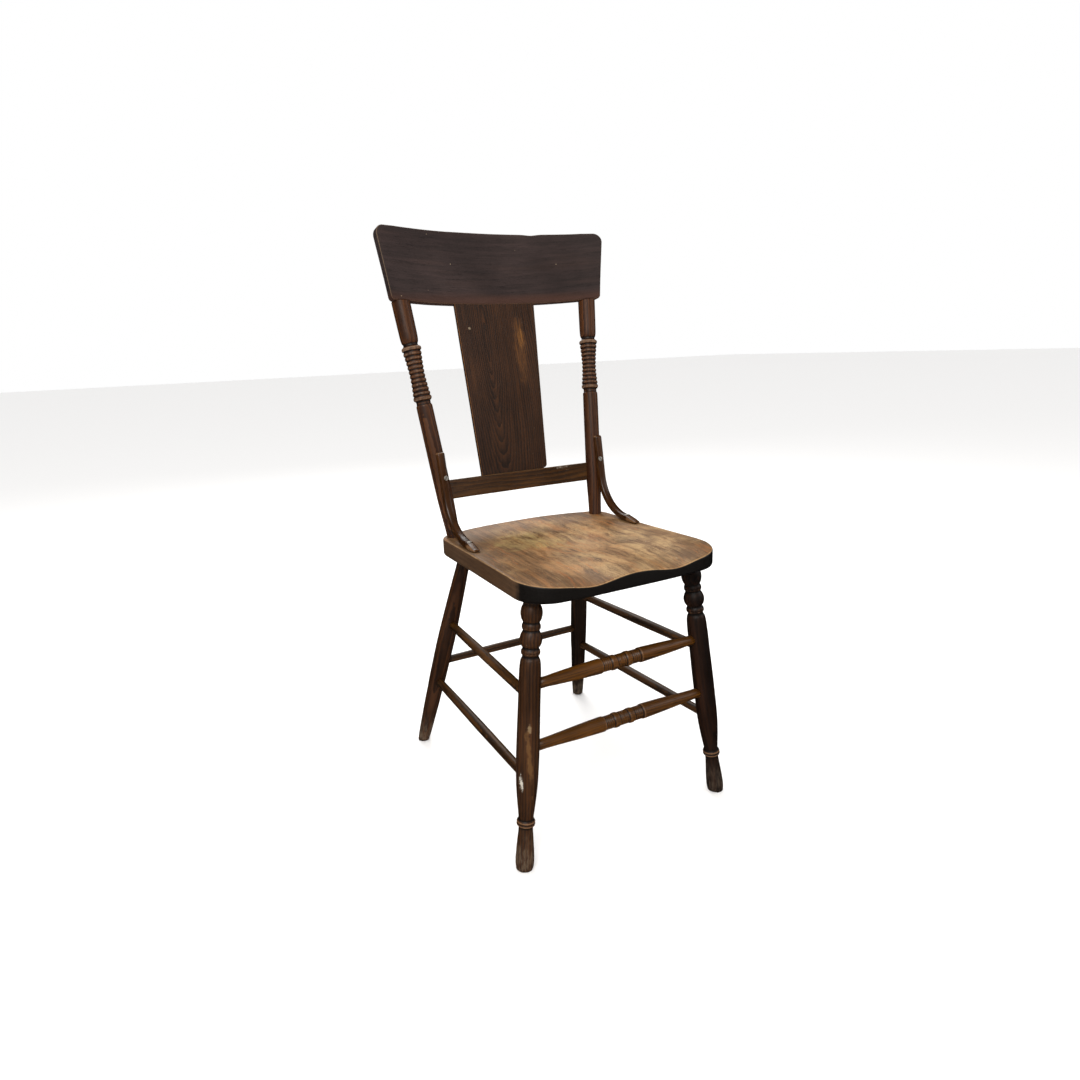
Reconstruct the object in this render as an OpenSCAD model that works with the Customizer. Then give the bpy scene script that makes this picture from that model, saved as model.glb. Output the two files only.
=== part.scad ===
// Antique wooden side chair: saddle seat on turned legs, ringed back posts,
// bent crest rail, plain splat and bentwood hip braces.
// +Z is up, the sitter faces -Y, and the origin is on the floor under the middle.

/* [Seat] */
// Height of the seat's top rim above the floor
seat_height = 446; // [436:1:456]
// Thickness of the seat plank at its rim
seat_thickness = 32; // [28:1:36]
// Half width of the seat just behind its front corners
seat_half_width = 179; // [174:1:184]
// Depth of the hollow worn and carved in the middle of the seat
saddle_depth = 7; // [4:1:9]
// Depth of each thigh dip at the front edge
thigh_dip = 9; // [5:1:10]

/* [Legs] */
// Radius of the tenons at the tops of the legs
leg_tenon_r = 9; // [8:0.5:9.5]
// How far the leg tenons go up into the seat
leg_tenon_depth = 15; // [12:1:16]

/* [Stretchers] */
// Height of the upper side stretchers
upper_side_z = 265; // [262:1:268]
// Height of the lower side stretchers
lower_side_z = 141; // [130:1:150]
// Height of the upper front stretcher
upper_front_z = 281; // [280:1:284]
// Height of the lower front stretcher
lower_front_z = 186; // [178:1:194]
// Height of the rear stretcher
rear_z = 182; // [178:1:194]

/* [Back] */
// Angle that the crest, splat and lower rail lean back
back_lean = 10.5; // [9.5:0.5:11.5]
// Height of the crest board, along its lean
crest_height = 124.5; // [110:0.5:130]
// Thickness of the crest board
crest_thickness = 18; // [17.5:0.5:22]
// Thickness of the splat
splat_thickness = 7; // [6:0.5:7.5]
// Width of the splat where it enters the crest
splat_top_w = 165; // [150:1:170]
// Width of the splat where it enters the lower rail
splat_bottom_w = 138; // [128:1:144]

/* [Braces] */
// Width of the bentwood hip braces
brace_w = 14.5; // [13:0.5:18]
// Thickness of the bentwood hip braces
brace_t = 11; // [10:0.5:13]
// Radius of the bend, at the middle of the strip
brace_bend_r = 84; // [78:1:88]
// Radius of the screw heads
screw_head_r = 4.2; // [3.5:0.1:5]

/* [Hidden] */

$fn = 64;
big = 1200;
left = -1;
right = 1;
stain = "#3a2519";
dark_stain = "#2c1e19";
worn_wood = "#8a6a4c";
steel = "#6a6866";
seat_bottom = seat_height - seat_thickness;

// Axes of the turned pieces on the right side: a point at each end.
front_leg_foot = [190.8, -204.7, 0];
front_leg_top = [147.7, -179.8, 414];
rear_leg_foot = [185.8, 224.4, 0];
rear_leg_top = [121.7, 103.8, 414];
post_base = [149.7, 91.4, seat_height];
post_top = [189.8, 168.6, 848];
post_tenon_r = 9;
post_tenon_depth = 22;
crest_tenon_r = 6;
crest_tenon_length = 28;
stretcher_end_gap = 3;
side_end_r = 7.3;
side_mid_r = 8.2;
rear_end_r = 7;
rear_mid_r = 7.7;
tenon_root = 20;

// Lean of the back: a plane through this point at the seat's height.
back_foot = [0, 118, 446];
crest_bottom = 406;
crest_radius = 570;
crest_offset = 8;
crest_half_bottom = 212;
crest_half_top = 226;
crest_crown = 6;
crest_corner_top = 17;
crest_corner_bottom = 7;
rail_bottom = 60.5;
rail_height = 34;
rail_radius = 580;
rail_thickness = 14;
rail_offset = 1;
rail_half = 152;
splat_radius = 600;
splat_offset = 3.8;
splat_tongue = 8;

// Hip brace, drawn in the plane of the post: forward of the post base.
brace_top_z = 595;
brace_tip_y = -27;
brace_tip_r = 2.3;
brace_gap = 14.6;
brace_foot_x = 160.5;
brace_top_x = 163;
post_screw_z = 547;
seat_screw_y = 2;
screw_shank_r = 2.2;
screw_length = 24;

// A smooth curve through a list of points, steps short lines to each span.
function spline(p, steps) = concat(
    [for (i = [0 : len(p) - 2]) for (k = [0 : steps - 1])
        let (t = k / steps, a = p[max(i - 1, 0)], b = p[i],
             c = p[i + 1], d = p[min(i + 2, len(p) - 1)])
        0.5 * (2 * b + (c - a) * t + (2 * a - 5 * b + 4 * c - d) * t * t
               + (3 * b - a - 3 * c + d) * t * t * t)],
    [p[len(p) - 1]]);

// Points of an arc about c, from angle a0 to a1.
function arc(c, r, a0, a1, steps) = [for (k = [0 : steps])
    let (a = a0 + (a1 - a0) * k / steps) [c[0] + r * cos(a), c[1] + r * sin(a)]];

// A row of count rounded rings from height z0 to z1, with radii along an envelope.
function ring_radius(t, ends, waist) = waist + (ends - waist) * pow(abs(2 * t - 1), 1.6);
function rings(z0, z1, count, ends, waist, groove) = [
    for (i = [0 : count - 1]) let (pitch = (z1 - z0) / count, z = z0 + pitch * (i + 0.5),
        r = ring_radius(i / (count - 1), ends, waist))
        for (k = [-2 : 2]) [r - groove * pow(abs(k) / 2, 2), z + k * pitch * 0.23]];

// Point on the axis p-q at height z, and the same point on the left side.
function at_height(p, q, z) = p + (q - p) * (z - p[2]) / (q[2] - p[2]);
function sided(p, side) = [side * p[0], p[1], p[2]];

// Puts a piece drawn along +Z on the line from p towards q. The quarter turn keeps
// the seam of each round surface away from the tips of its slanted cuts.
module along(p, q) {
    d = q - p;
    translate(p)
        rotate([0, acos(d[2] / norm(d)), atan2(d[1], d[0])])
            rotate(90)
                children();
}

// A turned solid from a list of [radius, height] points.
module turned(profile) {
    rotate_extrude()
        polygon(concat([[0, profile[0][1]]], profile, [[0, profile[len(profile) - 1][1]]]));
}

// Keeps what lies between two heights.
module between_heights(low, high) {
    intersection() {
        children();
        translate([-big / 2, -big / 2, low])
            cube([big, big, high - low]);
    }
}

// Legs: outlines as [radius, distance up the leg].
front_leg_profile = concat(
    spline([[12.9, -8], [12.9, 0], [14.1, 11], [13.5, 27], [12.4, 43], [10.9, 63], [11.2, 68.5]], 3),
    spline([[13.6, 70], [14.2, 73], [13.6, 76.5]], 2),
    spline([[11.6, 78], [11.6, 83], [13.9, 104], [16.3, 133], [17.1, 163], [17.2, 199],
            [17.0, 227], [16.6, 261], [16.5, 290], [15.8, 312], [14.7, 323]], 3),
    spline([[12.2, 327.5], [12.4, 330], [14.3, 335], [12.6, 340], [12.4, 342.5], [15.4, 347],
            [16.7, 353.5], [15.4, 360.5], [12.6, 367], [13.9, 373], [12.6, 379],
            [15.0, 385], [16.3, 393], [15.2, 400], [12.9, 406], [12.6, 411], [12.6, 440]], 4));

rear_leg_profile = spline([[10.4, -14], [10.6, 0], [11.6, 14], [12.9, 40], [14.5, 97], [14.9, 125],
    [15.9, 150], [16.4, 200], [16.3, 255], [14.5, 329], [13.0, 372], [12.0, 395], [11.8, 425],
    [11.8, 470]], 3);

module leg(foot, top, profile) {
    between_heights(0, seat_bottom)
        along(foot, top)
            turned(profile);
    leg_tenon(foot, top);
}

// Round tenon that rises above the leg's shoulder; the seat's socket has the same shape.
module leg_tenon(foot, top) {
    start = at_height(foot, top, seat_bottom);
    along(start, start + (top - foot))
        translate([0, 0, -tenon_root])
            cylinder(r = leg_tenon_r, h = leg_tenon_depth + tenon_root);
}

module front_leg(side) {
    foot = sided(front_leg_foot, side);
    top = sided(front_leg_top, side);
    color(stain)
        difference() {
            leg(foot, top, front_leg_profile);
            side_stretcher_blank(side, upper_side_z);
            side_stretcher_blank(side, lower_side_z);
            front_stretcher_blank(upper_front_z);
            front_stretcher_blank(lower_front_z);
        }
}

module rear_leg(side) {
    foot = sided(rear_leg_foot, side);
    top = sided(rear_leg_top, side);
    color(dark_stain)
        difference() {
            leg(foot, top, rear_leg_profile);
            side_stretcher_blank(side, upper_side_z);
            side_stretcher_blank(side, lower_side_z);
            rear_stretcher_blank();
        }
}

// A dowel from axis point a to axis point b, a little fuller in the middle.
module plain_dowel(a, b, end_r, mid_r) {
    length = norm(b - a) - 2 * stretcher_end_gap;
    parallel = 24;
    along(a, b)
        translate([0, 0, stretcher_end_gap])
            turned(concat(
                [[end_r, 0]],
                spline([[end_r, parallel], [(end_r + mid_r) / 2, length * 0.25], [mid_r, length / 2],
                        [(end_r + mid_r) / 2, length * 0.75], [end_r, length - parallel]], 2),
                [[end_r, length]]));
}

module side_stretcher_blank(side, z) {
    plain_dowel(sided(at_height(front_leg_foot, front_leg_top, z), side),
                sided(at_height(rear_leg_foot, rear_leg_top, z), side),
                side_end_r, side_mid_r);
}

module rear_stretcher_blank() {
    p = at_height(rear_leg_foot, rear_leg_top, rear_z);
    plain_dowel(sided(p, left), p, rear_end_r, rear_mid_r);
}

// Half of a front stretcher's outline, from the middle outwards.
ring_r = 10.7;
bead_r = 11.8;
swell_r = 11.8;
front_end_r = 8;
function half_turning(half) = concat(
    [[ring_r, 0]],
    rings(1.5, 7.5, 2, ring_r, ring_r, 0.8),
    spline([[10.2, 8.6], [bead_r, 12], [bead_r, 16], [10.2, 19.6]], 3),
    rings(20.5, 35, 4, ring_r, ring_r, 0.8),
    spline([[10.4, 36.5], [swell_r, 38.5], [swell_r - 0.3, 52], [10.4, 85], [8.8, 118],
            [front_end_r, half - 26]], 3),
    [[front_end_r, half]]);
function mirrored(p) = [for (i = [len(p) - 1 : -1 : 1]) [p[i][0], -p[i][1]]];

module front_stretcher_blank(z) {
    p = at_height(front_leg_foot, front_leg_top, z);
    half = half_turning(p[0] - stretcher_end_gap);
    along([0, p[1], z], p)
        turned(concat(mirrored(half), half));
}

module front_stretcher_upper() {
    color(stain)
        front_stretcher_blank(upper_front_z);
}

module front_stretcher_lower() {
    color(stain)
        front_stretcher_blank(lower_front_z);
}

module side_stretcher_upper(side) {
    color(dark_stain)
        side_stretcher_blank(side, upper_side_z);
}

module side_stretcher_lower(side) {
    color(dark_stain)
        side_stretcher_blank(side, lower_side_z);
}

module rear_stretcher() {
    color(dark_stain)
        rear_stretcher_blank();
}

// Outline of the right half of the seat, front middle to rear middle.
front_corner_r = 56;
rear_corner_r = 36;
seat_front_y = -236;
function seat_half() = concat(
    [[0, seat_front_y], [70, seat_front_y + 0.5]],
    arc([seat_half_width - front_corner_r, seat_front_y + front_corner_r + 3],
        front_corner_r, -82, 0, 10),
    [[seat_half_width - 3, -80], [seat_half_width - 5.5, 10]],
    arc([seat_half_width - 6.5 - rear_corner_r, 80], rear_corner_r, 3, 68, 7),
    [[131, 118], [110, 125.5], [72, 132], [36, 136]],
    [[0, 137]]);
function flip(p) = [for (i = [len(p) - 2 : -1 : 1]) [-p[i][0], p[i][1]]];

module seat_plank() {
    translate([0, 0, seat_bottom])
        linear_extrude(seat_thickness)
            polygon(concat(seat_half(), flip(seat_half())));
}

// The hollow for the sitter: one wide dish, a thigh dip each side, a sloped front.
module saddle_cut() {
    dish_r = 900;
    half_angle = acos(1 - saddle_depth / dish_r);
    translate([0, -40, seat_height])
        rotate_extrude($fn = 96)
            polygon(concat([[0, 10]],
                           arc([0, dish_r - saddle_depth], dish_r, -90, half_angle - 90, 8),
                           [[dish_r * sin(half_angle), 10]]));
    thigh_r = 190;
    thigh_rise = 3.5;
    for (side = [left, right])
        translate([side * 76, seat_front_y, seat_height + thigh_r - thigh_dip])
            rotate([thigh_rise - 90, 0, 0])
                translate([0, 0, -40])
                    cylinder(r = thigh_r, h = 400, $fn = 128);
    front_slope = 6.5;
    translate([-big / 2, seat_front_y + 62, seat_height])
        rotate([front_slope, 0, 0])
            translate([0, -200, 0])
                cube([big, 200, 60]);
}

module seat() {
    color(worn_wood)
        difference() {
            seat_plank();
            saddle_cut();
            for (side = [left, right]) {
                leg_tenon(sided(front_leg_foot, side), sided(front_leg_top, side));
                leg_tenon(sided(rear_leg_foot, side), sided(rear_leg_top, side));
                post_tenon(side);
            }
            brace_seat_screws();
        }
}

// Back posts: outline as [radius, distance up the post].
// The foot is one plain cylinder where the seat's plane cuts it on the slant.
post_profile = concat(
    [[11.7, -30]],
    spline([[11.7, 6], [12.3, 23], [13.9, 62], [14.2, 100], [14.1, 158], [14.1, 215],
            [13.9, 225]], 3),
    [[12.6, 234], [12.4, 239], [13.2, 242]],
    rings(242.5, 326.5, 11, 15.6, 13.3, 1.2),
    spline([[15.6, 327.5], [17, 331], [15.4, 334.5]], 2),
    [[12.7, 337], [12.7, 341]],
    spline([[14.6, 344], [15.5, 352], [15.8, 380], [16, 412], [16, 450]], 2));

// Round tenon that goes down into the seat.
module post_tenon(side) {
    along(sided(post_base, side), sided(post_top, side))
        translate([0, 0, -post_tenon_depth])
            cylinder(r = post_tenon_r, h = post_tenon_depth + tenon_root);
}

// Round tenon that goes up into the crest.
module crest_tenon(side) {
    along(sided(post_base, side), sided(post_top, side))
        translate([0, 0, norm(post_top - post_base) - tenon_root])
            cylinder(r = crest_tenon_r, h = tenon_root + crest_tenon_length);
}

module back_post(side) {
    base = sided(post_base, side);
    top = sided(post_top, side);
    color(stain)
        difference() {
            union() {
                difference() {
                    between_heights(seat_height, 1000)
                        along(base, top)
                            turned(post_profile);
                    above_crest_bottom();
                }
                post_tenon(side);
                crest_tenon(side);
            }
            rail_blank();
            brace_post_screws();
        }
}

// Frame of the leaning back: X across, Y backwards, Z up along the lean.
module leaning() {
    translate(back_foot)
        rotate([-back_lean, 0, 0])
            children();
}

module above_crest_bottom() {
    leaning()
        translate([-big / 2, -big / 2, crest_bottom])
            cube([big, big, 200]);
}

// A curved board: part of a tall ring, with its middle at the given offset.
module bent_board(radius, thickness, offset_y, low, high) {
    translate([0, offset_y - radius, low])
        difference() {
            cylinder(r = radius + thickness / 2, h = high - low, $fn = 256);
            translate([0, 0, -1])
                cylinder(r = radius - thickness / 2, h = high - low + 2, $fn = 256);
            translate([-big, -big - 200, -1])
                cube([2 * big, big + 200, high - low + 2]);
        }
}

// The crest's face: straight flared ends, round corners, a crowned top.
module crest_face() {
    low = crest_bottom;
    high = crest_bottom + crest_height;
    half = concat(
        [for (x = [0 : 50 : 200]) [x, low]],
        arc([crest_half_bottom - crest_corner_bottom, low + crest_corner_bottom],
            crest_corner_bottom, -90, -3, 5),
        arc([crest_half_top - crest_corner_top, high - crest_corner_top],
            crest_corner_top, -3, 88, 8),
        [for (x = [175 : -25 : 0]) [x, high + crest_crown * (1 - pow(x / crest_half_top, 2))]]);
    polygon(concat(half, flip(half)));
}

module crest_rail() {
    color(dark_stain)
        difference() {
            leaning()
                intersection() {
                    bent_board(crest_radius, crest_thickness, crest_offset,
                               crest_bottom, crest_bottom + crest_height + crest_crown);
                    translate([0, 100, 0])
                        rotate([90, 0, 0])
                            linear_extrude(300)
                                crest_face();
                }
            for (side = [left, right])
                crest_tenon(side);
            splat_blank();
        }
}

module rail_blank() {
    leaning()
        intersection() {
            bent_board(rail_radius, rail_thickness, rail_offset, rail_bottom,
                       rail_bottom + rail_height);
            translate([-rail_half, -big / 2, 0])
                cube([2 * rail_half, big, 200]);
        }
}

module lower_back_rail() {
    color(stain)
        difference() {
            rail_blank();
            splat_blank();
        }
}

module splat_blank() {
    low = rail_bottom + rail_height - splat_tongue;
    high = crest_bottom + splat_tongue;
    leaning()
        intersection() {
            bent_board(splat_radius, splat_thickness, splat_offset, low, high);
            translate([0, 100, 0])
                rotate([90, 0, 0])
                    linear_extrude(300)
                        polygon([[-splat_bottom_w / 2, low], [splat_bottom_w / 2, low],
                                 [splat_top_w / 2, high], [-splat_top_w / 2, high]]);
        }
}

module back_splat() {
    color(stain)
        splat_blank();
}

// Side outline of the strip: foot on the seat, a bend, then up along the post.
post_slope = (post_top[1] - post_base[1]) / (post_top[2] - post_base[2]);
brace_lean = atan(post_slope);
brace_turn = 90 - brace_lean;
brace_line_y = post_base[1] - brace_gap / cos(brace_lean) - brace_t / 2 / cos(brace_lean);
brace_foot_z = seat_height + brace_t / 2;
bend_tangent = brace_bend_r * tan(brace_turn / 2);
bend_centre = [brace_line_y + (brace_foot_z - seat_height) * post_slope - bend_tangent,
               brace_foot_z + brace_bend_r];

module brace_outline() {
    upper = (brace_top_z - bend_centre[1]) / cos(brace_lean) - brace_t / 2
            + brace_bend_r * sin(brace_lean);
    half_t = brace_t / 2;
    // bend
    translate(bend_centre)
        polygon(concat(arc([0, 0], brace_bend_r + half_t, -90, -brace_lean, 14),
                       arc([0, 0], brace_bend_r - half_t, -brace_lean, -90, 14)));
    // foot on the seat, thinning to a round tip
    tip_y = brace_tip_y + brace_tip_r;
    polygon([[tip_y, seat_height], [bend_centre[0], seat_height],
             [bend_centre[0], seat_height + brace_t], [tip_y, seat_height + 2 * brace_tip_r]]);
    translate([tip_y, seat_height + brace_tip_r])
        circle(r = brace_tip_r);
    // upright along the post, with a round top
    translate(bend_centre)
        rotate(-brace_lean) {
            translate([brace_bend_r - half_t, 0])
                square([brace_t, upper]);
            translate([brace_bend_r, upper])
                circle(r = half_t);
        }
}

// The strip stands in a plane that spreads a little, as the posts do.
module in_brace_plane(side) {
    spread = atan((brace_top_x - brace_foot_x) / (brace_top_z - seat_height));
    translate([side * brace_foot_x, 0, seat_height])
        rotate([0, side * spread, 0])
            translate([0, 0, -seat_height])
                children();
}

module hip_brace(side) {
    color(dark_stain)
        difference() {
            between_heights(seat_height, 700)
                in_brace_plane(side)
                    rotate([90, 0, 90])
                        translate([0, 0, -brace_w / 2])
                            linear_extrude(brace_w)
                                brace_outline();
            brace_post_screws();
            brace_seat_screws();
        }
}

// Slotted countersunk screw: head face at z = 0, shank going down.
module wood_screw() {
    head_h = 2.4;
    difference() {
        union() {
            translate([0, 0, -head_h])
                cylinder(r1 = screw_shank_r, r2 = screw_head_r, h = head_h);
            cylinder(r = screw_head_r, h = 0.5);
            translate([0, 0, -screw_length])
                cylinder(r = screw_shank_r, h = screw_length - head_h + 0.01);
        }
        translate([-screw_head_r - 1, -0.45, -0.4])
            cube([2 * screw_head_r + 2, 0.9, 2]);
    }
}

module brace_post_screws() {
    color(steel)
        for (side = [left, right]) {
            axis = sided(at_height(post_base, post_top, post_screw_z), side);
            front = brace_gap + brace_t;
            translate(axis)
                rotate([90 - brace_lean, 0, 0])
                    translate([0, 0, front])
                        wood_screw();
        }
}

module brace_seat_screws() {
    color(steel)
        for (side = [left, right])
            translate([side * brace_foot_x, seat_screw_y, seat_height + brace_t])
                rotate([0, 0, 35])
                    wood_screw();
}

seat();
front_leg(left);  // front_leg_left
front_leg(right);  // front_leg_right
rear_leg(left);  // rear_leg_left
rear_leg(right);  // rear_leg_right
front_stretcher_upper();
front_stretcher_lower();
side_stretcher_upper(left);  // side_stretcher_upper_left
side_stretcher_upper(right);  // side_stretcher_upper_right
side_stretcher_lower(left);  // side_stretcher_lower_left
side_stretcher_lower(right);  // side_stretcher_lower_right
rear_stretcher();
back_post(left);  // back_post_left
back_post(right);  // back_post_right
crest_rail();
back_splat();
lower_back_rail();
hip_brace(left);  // hip_brace_left
hip_brace(right);  // hip_brace_right
brace_post_screws();
brace_seat_screws();
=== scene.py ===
import math

import bmesh
import bpy
from mathutils import Matrix, Vector, noise


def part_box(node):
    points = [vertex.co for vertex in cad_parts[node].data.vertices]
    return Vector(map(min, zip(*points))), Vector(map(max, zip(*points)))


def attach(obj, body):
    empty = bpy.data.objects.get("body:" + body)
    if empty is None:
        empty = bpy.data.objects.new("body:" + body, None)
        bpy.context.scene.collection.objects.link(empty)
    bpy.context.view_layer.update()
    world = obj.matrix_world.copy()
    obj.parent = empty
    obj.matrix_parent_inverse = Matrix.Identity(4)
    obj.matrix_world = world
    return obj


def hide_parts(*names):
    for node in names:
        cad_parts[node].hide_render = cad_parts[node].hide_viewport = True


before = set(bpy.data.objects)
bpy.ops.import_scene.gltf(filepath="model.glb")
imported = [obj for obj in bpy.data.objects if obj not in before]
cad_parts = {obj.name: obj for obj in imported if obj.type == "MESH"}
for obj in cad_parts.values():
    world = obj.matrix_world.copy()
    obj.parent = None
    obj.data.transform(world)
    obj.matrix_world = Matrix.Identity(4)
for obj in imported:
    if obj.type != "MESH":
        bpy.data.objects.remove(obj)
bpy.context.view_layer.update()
mm = 0.001
left, right = -1, 1     # as seen from in front of the chair
bothSides = ((left, "Left"), (right, "Right"))
bpy.context.scene.view_settings.view_transform = "Standard"
print("frame loaded:", len(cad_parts), "nodes")

# the camera stands at the sitter's right front and looks slightly down
cameraView = {
    "place": (-0.6268, -1.0422, 0.7624),
    "heading": 27.56,
    "dip": 12.26,
    "roll": -2.35,
    "lens": 23.99,
    "shift": (0.0273, -0.0313),
}


def addObject(name, data):
    made = bpy.data.objects.new(name, data)
    bpy.context.scene.collection.objects.link(made)
    return made


def makeCamera():
    data = bpy.data.cameras.new("studioCamera")
    data.lens = cameraView["lens"]
    data.sensor_width = 36
    data.shift_x, data.shift_y = cameraView["shift"]
    camera = addObject("studioCamera", data)
    turn = Matrix.Rotation(math.radians(-cameraView["heading"]), 4, "Z")
    tip = Matrix.Rotation(math.radians(90 - cameraView["dip"]), 4, "X")
    roll = Matrix.Rotation(math.radians(cameraView["roll"]), 4, "Z")
    camera.matrix_world = Matrix.Translation(cameraView["place"]) @ turn @ tip @ roll
    bpy.context.scene.camera = camera


makeCamera()
print("camera set")


# shader helpers: each returns the socket that carries its result
def tint(code):
    parts = [int(code[i:i + 2], 16) / 255 for i in (1, 3, 5)]
    line = [c / 12.92 if c <= 0.04045 else ((c + 0.055) / 1.055) ** 2.4 for c in parts]
    return (*line, 1)


def addNode(tree, kind, inputs=(), **settings):
    made = tree.nodes.new("ShaderNode" + kind)
    for key, value in settings.items():
        setattr(made, key, value)
    for key, value in dict(inputs).items():
        if isinstance(value, bpy.types.NodeSocket):
            tree.links.new(value, made.inputs[key])
        else:
            made.inputs[key].default_value = value
    return made


def calc(tree, how, a, b, clamp=False):
    return addNode(tree, "Math", {0: a, 1: b}, operation=how, use_clamp=clamp).outputs[0]


def times(tree, a, b, clamp=False):
    return calc(tree, "MULTIPLY", a, b, clamp)


def plus(tree, a, b, clamp=False):
    return calc(tree, "ADD", a, b, clamp)


def minus(tree, a, b):
    return calc(tree, "SUBTRACT", a, b)


def vectorCalc(tree, how, inputs):
    return addNode(tree, "VectorMath", inputs, operation=how).outputs[0]


def blendColor(tree, amount, a, b):
    made = addNode(tree, "Mix", {0: amount, 6: a, 7: b}, data_type="RGBA")
    made.clamp_factor = True
    return made.outputs[2]


# lays a colour over the finish so far
def daub(tree, parts, amount, shade):
    parts["color"] = blendColor(tree, amount, parts["color"], tint(shade))


def between(tree, value, low, high):
    made = addNode(tree, "MapRange", {0: value, 1: low, 2: high}, interpolation_type="SMOOTHSTEP")
    return made.outputs[0]


# carries the middle of a noise's range to another range
def spread(tree, value, low, high):
    return addNode(tree, "MapRange", {0: value, 1: 0.3, 2: 0.7, 3: low, 4: high}).outputs[0]


def stretched(tree, vector, scale, shift=(0, 0, 0), turn=(0, 0, 0)):
    return addNode(tree, "Mapping", {"Vector": vector, "Scale": scale, "Location": shift,
                                     "Rotation": turn}).outputs[0]


def noiseAt(tree, vector, scale, detail=3.0, rough=0.55):
    return addNode(tree, "TexNoise", {"Vector": vector, "Scale": scale, "Detail": detail,
                                      "Roughness": rough}).outputs[0]


# soft patch: 1 at centre, 0 past the given reach, with a ragged border
def patch(tree, vector, centre, reach, ragged, grit):
    scale = [1 / r for r in reach]
    away = stretched(tree, vector, scale, [-c * s for c, s in zip(centre, scale)])
    far = addNode(tree, "VectorMath", {0: away}, operation="LENGTH").outputs["Value"]
    rag = times(tree, minus(tree, noiseAt(tree, vector, grit, 4.0), 0.5), ragged * 4)
    return minus(tree, 1.0, between(tree, plus(tree, far, rag), 0.45, 1.0))


# scattered flecks of old paint and dust, cells per metre
def flecksAt(tree, vector, cells, clumps, detail, reach):
    cell = addNode(tree, "TexVoronoi", {"Vector": vector, "Scale": cells}).outputs["Distance"]
    clump = times(tree, noiseAt(tree, vector, clumps, detail), 0.55)
    return calc(tree, "LESS_THAN", plus(tree, cell, clump), reach)


woodDefaults = {
    "early": "#2e1c13",     # dark open-pored lines of the growth rings
    "late": "#452c1c",      # denser wood between them
    "warm": "#5d381c",      # streaks where the stain has thinned
    "worn": "#7d5836",      # rubbed edges and ring crests
    "grime": "#120c09",     # grooves
    "speck": "#b09a7c",     # flecks of old paint and dust
    "ringWidth": 4.5 * mm,
    "pith": (0.03, 0.05, 0.0),
    "pithTurn": (0.06, 0.03, 0.0),
    "warmAmount": 0.55,
    "wornAmount": 0.75,
    "speckAmount": 0.35,
    "rough": (0.36, 0.62),
    "bump": 0.4,
    "shine": 0.4,
    "ringAmount": 0.5,
    "richness": 1.35,
    "waviness": 0.022,
}
# repeats per metre across, through and along the fibres
grainScale = {
    "warp": (9, 9, 2.2),
    "fibre": (700, 700, 16),
    "coarse": (190, 190, 7),
    "pores": (1300, 1300, 70),
    "streaks": (46, 46, 3.6),
    "rub": (260, 260, 90),
    "scuff": (320, 320, 70),
}


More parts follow.
